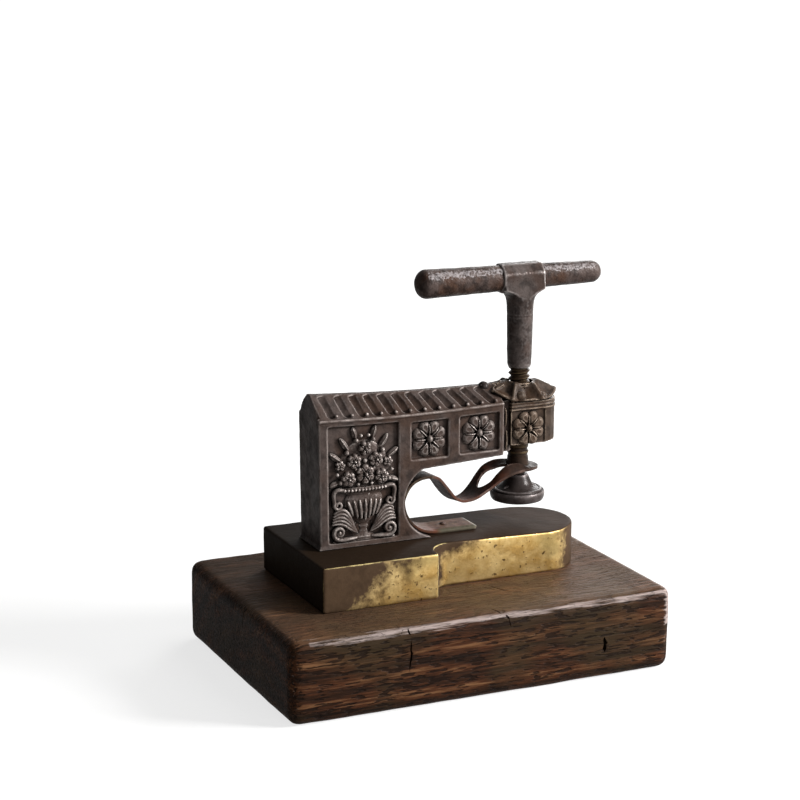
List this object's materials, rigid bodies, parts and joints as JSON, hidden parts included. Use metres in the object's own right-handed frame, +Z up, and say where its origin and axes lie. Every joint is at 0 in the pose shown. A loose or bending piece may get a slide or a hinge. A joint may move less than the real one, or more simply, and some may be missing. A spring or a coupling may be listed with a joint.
{
  "type": "screw seal press",
  "caption": "Small bench seal press: iron C-frame with a T-handled screw, ram foot and lift spring on a brass bed and an oak block.",
  "frame": {"origin": "centre of the oak block's underside", "axes": "+X along the arm from the post to the screw head, +Y to the back, +Z up along the screw"},
  "size_m": [0.258, 0.179, 0.2524],
  "materials": {
    "oak": "dark waxed oak, worn",
    "brass": "worn and patinated",
    "cast_iron": "dark patina, satin",
    "wrought_iron": "brown patina, satin",
    "handle_iron": "hand-worn rust brown",
    "bronze": "turned",
    "die_brass": "engraved",
    "screw_steel": "oiled, brown",
    "spring_steel": "rust brown",
    "steel": "dark"
  },
  "bodies": {
    "root": {"oak_block": "oak", "brass_base": "brass", "press_frame": "cast_iron", "leaf_cap": "cast_iron", "nut_bush": "bronze", "nut_grub_screw": "steel", "ridge_knob": "cast_iron", "frame_dowels": "steel", "frame_screws": "steel", "base_bolts": "steel", "base_washers": "steel", "lift_spring": "spring_steel", "spring_foot_screw": "steel"},
    "ram": {"ram_foot": "wrought_iron", "seal_die": "die_brass", "die_screws": "steel", "swivel_pins": "steel", "thrust_disc": "steel"},
    "screw": {"press_screw": "screw_steel", "handle_hub": "wrought_iron", "handle_bar": "handle_iron", "shank_pin": "steel"}
  },
  "joints": [
    {"name": "ram_slide", "type": "slide", "parent": "root", "child": "ram", "axis": [0, 0, -1], "range_m": [-0.01, 0.013], "deforming": ["lift_spring"]},
    {"name": "screw_turn", "type": "hinge", "parent": "ram", "child": "screw", "pos_m": [0.0676, 0.0045, 0.1], "axis": [0, 0, -1], "range_deg": [-947, 1231]}
  ],
  "couplings": [
    {"joint": "ram_slide", "follows": "screw_turn", "m_per_rad": 0.00060479}
  ]
}
